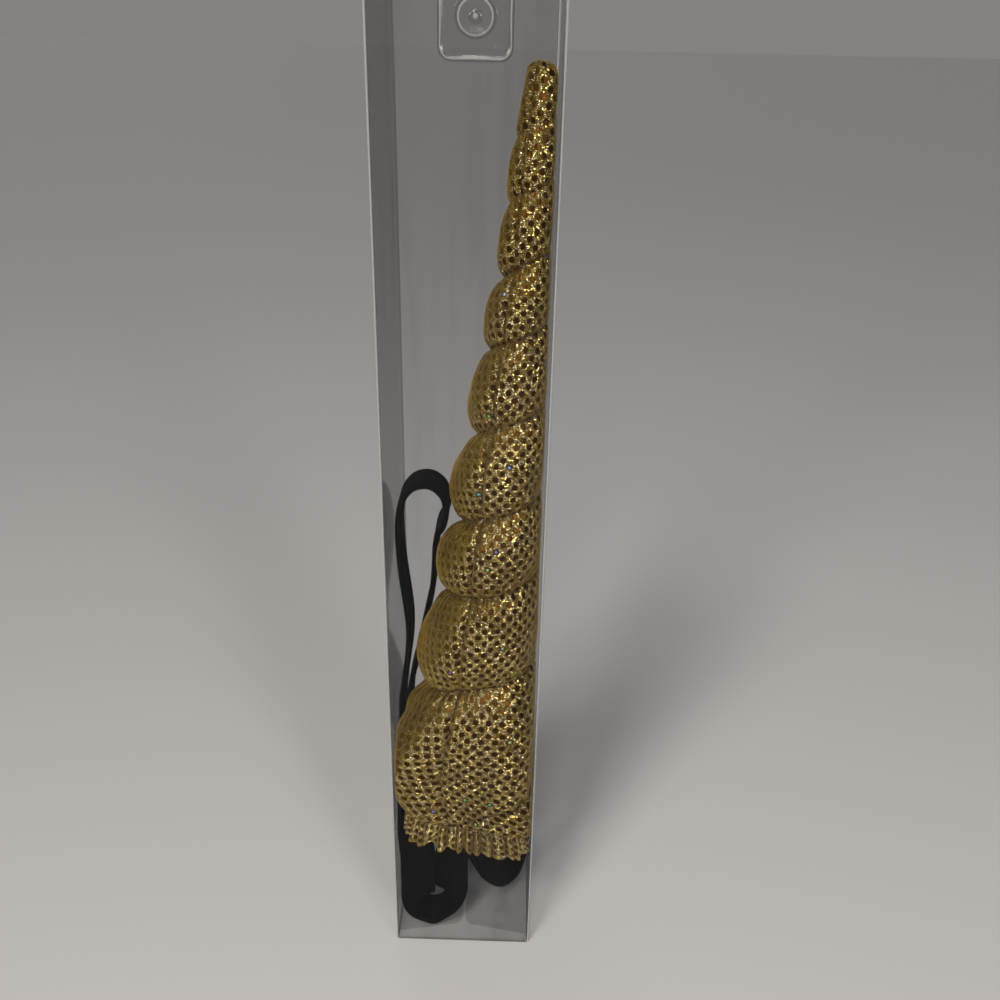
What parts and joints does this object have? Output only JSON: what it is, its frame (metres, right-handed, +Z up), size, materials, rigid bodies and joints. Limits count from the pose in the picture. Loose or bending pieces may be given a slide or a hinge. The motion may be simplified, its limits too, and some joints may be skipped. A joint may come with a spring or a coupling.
{
  "type": "unicorn horn headband in a clear box",
  "caption": "Stuffed gold cloth horn wound into spiral bulges, on a black elastic headband, folded into a tall clear box with a hinged lid.",
  "frame": {"origin": "middle of the underside of the box", "axes": "+Z up along the box and the horn, -Y towards the box's front"},
  "size_m": [0.05, 0.057, 0.34],
  "materials": {
    "gold_cloth": "metallic cloth with small round mirror dots",
    "black_elastic": "matte woven elastic",
    "clear_sheet": "clear gloss",
    "clear_moulding": "clear gloss"
  },
  "bodies": {
    "box": {"horn_body": "gold_cloth", "horn_hem": "gold_cloth", "headband_elastic": "black_elastic", "box_body": "clear_sheet", "floor_flap_left": "clear_sheet", "floor_flap_right": "clear_sheet", "rear_pad": "clear_moulding"},
    "lid": {"box_lid": "clear_sheet"}
  },
  "joints": [
    {"name": "lid_hinge", "type": "hinge", "parent": "box", "child": "lid", "pos_m": [0, 0.0283, 0.3398], "axis": [-1, 0, 0], "range_deg": [0, 180]}
  ]
}
